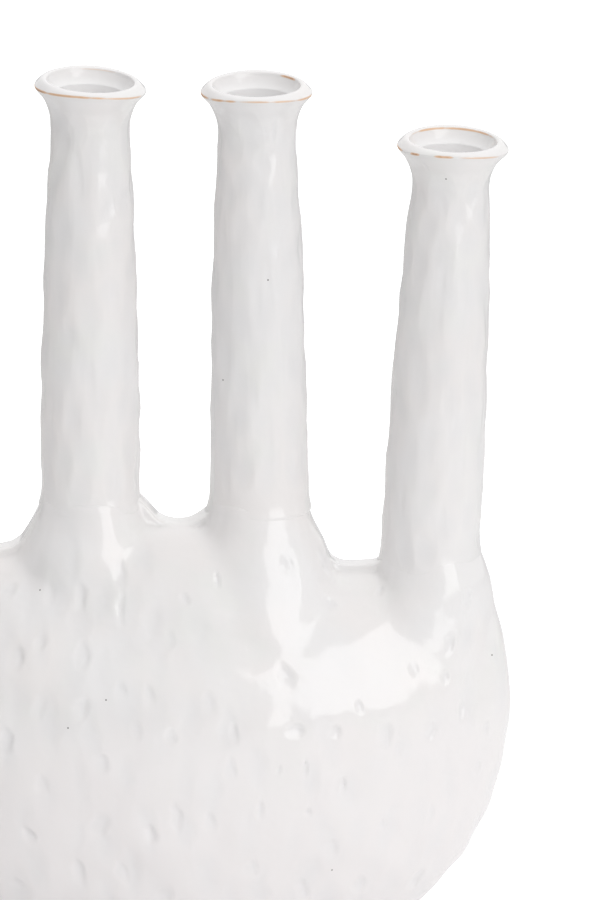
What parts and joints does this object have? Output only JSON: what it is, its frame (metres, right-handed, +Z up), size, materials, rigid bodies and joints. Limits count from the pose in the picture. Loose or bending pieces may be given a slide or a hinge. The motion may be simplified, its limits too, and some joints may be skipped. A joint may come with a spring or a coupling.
{
  "type": "vase",
  "caption": "Flattened oval stoneware vase, hand built, with a row of tall flared bud necks on its shoulders and an unglazed oval foot.",
  "frame": {"origin": "on the standing plane, under the middle of the vase", "axes": "+X to the right as seen from the front, along the row of necks; +Y to the back; +Z up"},
  "size_m": [0.217, 0.096, 0.2968],
  "materials": {
    "white_glaze": "gloss",
    "bare_clay": "matte"
  },
  "bodies": {
    "root": {"body_front_half": "white_glaze", "body_back_half": "white_glaze", "base_slab": "white_glaze", "foot_ring": "bare_clay", "neck_outer_left": "white_glaze", "neck_inner_left": "white_glaze", "neck_inner_right": "white_glaze", "neck_outer_right": "white_glaze"}
  },
  "joints": []
}
